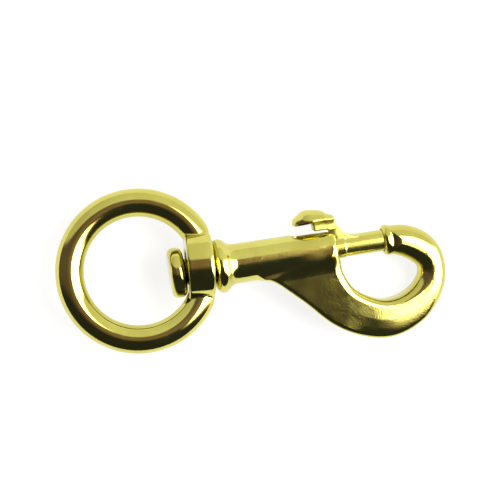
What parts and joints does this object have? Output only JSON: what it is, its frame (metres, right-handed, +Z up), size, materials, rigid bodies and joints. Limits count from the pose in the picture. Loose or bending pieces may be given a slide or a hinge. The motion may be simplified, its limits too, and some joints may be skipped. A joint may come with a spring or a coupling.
{
  "type": "swivel-eye bolt snap hook",
  "caption": "Brass bolt snap: a closed hook with a spring-loaded sliding bolt worked by a thumb lug, on a ring that swivels about the bolt axis.",
  "frame": {"origin": "centre of the eye, on the bolt axis, when the eye is square on its pin", "axes": "+X along the bolt axis from the eye towards the hook, +Y towards the thumb lug, +Z up as the snap lies flat"},
  "size_m": [0.0856, 0.0409, 0.0146],
  "materials": {
    "body_brass": "cast brass, tumbled and polished, with a fine grain left on the blade",
    "bolt_brass": "turned and polished rod, thumb lug as cast on its sides",
    "spring_wire": "drawn spring wire",
    "eye_brass": "cast brass, polished",
    "pin_brass": "turned brass, polished"
  },
  "bodies": {
    "hook": {"hook_body": "body_brass", "swivel_pin": "pin_brass", "bolt_spring": "spring_wire"},
    "bolt": {"bolt": "bolt_brass"},
    "eye": {"swivel_eye": "eye_brass"}
  },
  "joints": [
    {"name": "bolt_slide", "type": "slide", "parent": "hook", "child": "bolt", "axis": [-1, 0, 0], "range_m": [0, 0.0084], "stiffness_N_per_m": 400, "springref_m": -0.003, "deforming": ["bolt_spring"]},
    {"name": "eye_swivel", "type": "hinge", "parent": "hook", "child": "eye", "pos_m": [0, 0, 0], "axis": [1, 0, 0], "continuous": true}
  ]
}
